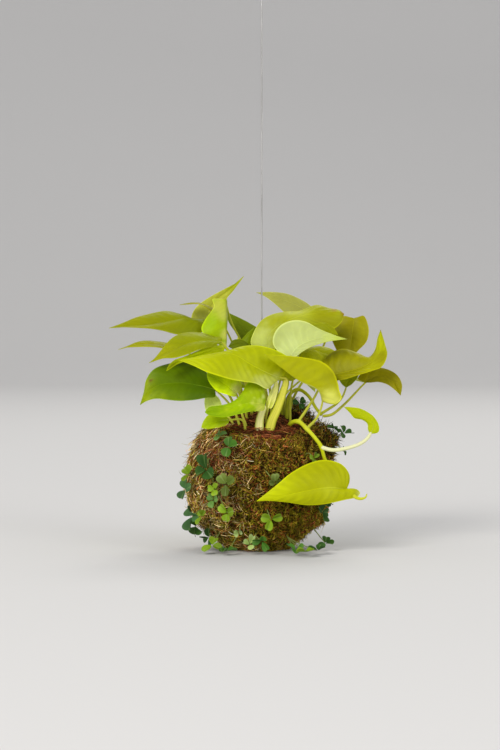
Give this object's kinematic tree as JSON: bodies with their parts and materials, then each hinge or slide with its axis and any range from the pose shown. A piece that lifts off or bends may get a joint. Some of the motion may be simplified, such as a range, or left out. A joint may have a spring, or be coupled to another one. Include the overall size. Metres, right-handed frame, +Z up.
{
  "type": "kokedama moss ball plant",
  "caption": "Trailing pothos with lime-green heart-shaped leaves growing from a soil ball wrapped in living moss, with clover-like sprigs and a straight hanging wire.",
  "frame": {"origin": "middle of the flat spot that the ball rests on", "axes": "+Z up along the wire, +Y away from the viewer of the picture, +X to the viewer's right"},
  "size_m": [0.2442, 0.1903, 0.4818],
  "materials": {
    "leaf": "living leaf, smooth and slightly glossy, lime to chartreuse green",
    "stem": "living stem, smooth, yellow-green",
    "clover": "living leaflets, matte, deep green",
    "moss": "living moss, fibrous, olive green with brown strands",
    "soil": "coir and peat, fibrous, red-brown",
    "wire": "thin drawn wire, dull grey"
  },
  "bodies": {
    "root": {"vine_trailing": "stem", "stem_arching": "stem", "leaf_front_left": "leaf", "leaf_front_right": "leaf", "leaf_front_glossy": "leaf", "leaf_furled": "leaf", "leaf_front_small": "leaf", "leaf_front_inner": "leaf", "leaf_left_low": "leaf", "leaf_left_inner": "leaf", "leaf_left_mid": "leaf", "leaf_left_tucked": "leaf", "leaf_left_thin": "leaf", "leaf_left_far": "leaf", "leaf_top_tall": "leaf", "leaf_top_thin": "leaf", "leaf_top_rolled": "leaf", "leaf_back_dark": "leaf", "leaf_back_low": "leaf", "leaf_back_edge": "leaf", "leaf_centre_pale": "leaf", "leaf_centre_back": "leaf", "leaf_top_rear": "leaf", "leaf_right_sliver": "leaf", "leaf_right_inner": "leaf", "leaf_right_upturned": "leaf", "leaf_right_rear": "leaf", "leaf_right_small": "leaf", "leaf_right_low": "leaf", "leaf_trailing_large": "leaf", "leaf_trailing_young": "leaf", "leaf_rear_1": "leaf", "leaf_rear_2": "leaf", "leaf_rear_3": "leaf", "leaf_rear_4": "leaf", "leaf_rear_5": "leaf", "clover_top_left": "clover", "clover_left_upper": "clover", "clover_left_face": "clover", "clover_left_rim": "clover", "clover_left_low": "clover", "clover_left_foot": "clover", "clover_front_foot": "clover", "clover_front_low": "clover", "clover_front": "clover", "clover_front_pale": "clover", "clover_behind_leaf": "clover", "clover_right_vine": "clover", "clover_right": "clover", "clover_right_foot": "clover", "clover_right_front": "clover", "clover_crown_right": "clover", "clover_right_tuft": "clover", "clover_back_left": "clover", "clover_back_right": "clover", "hanging_wire": "wire", "wire_eye": "wire", "moss_jacket": "moss", "soil_ball": "soil"}
  },
  "joints": []
}
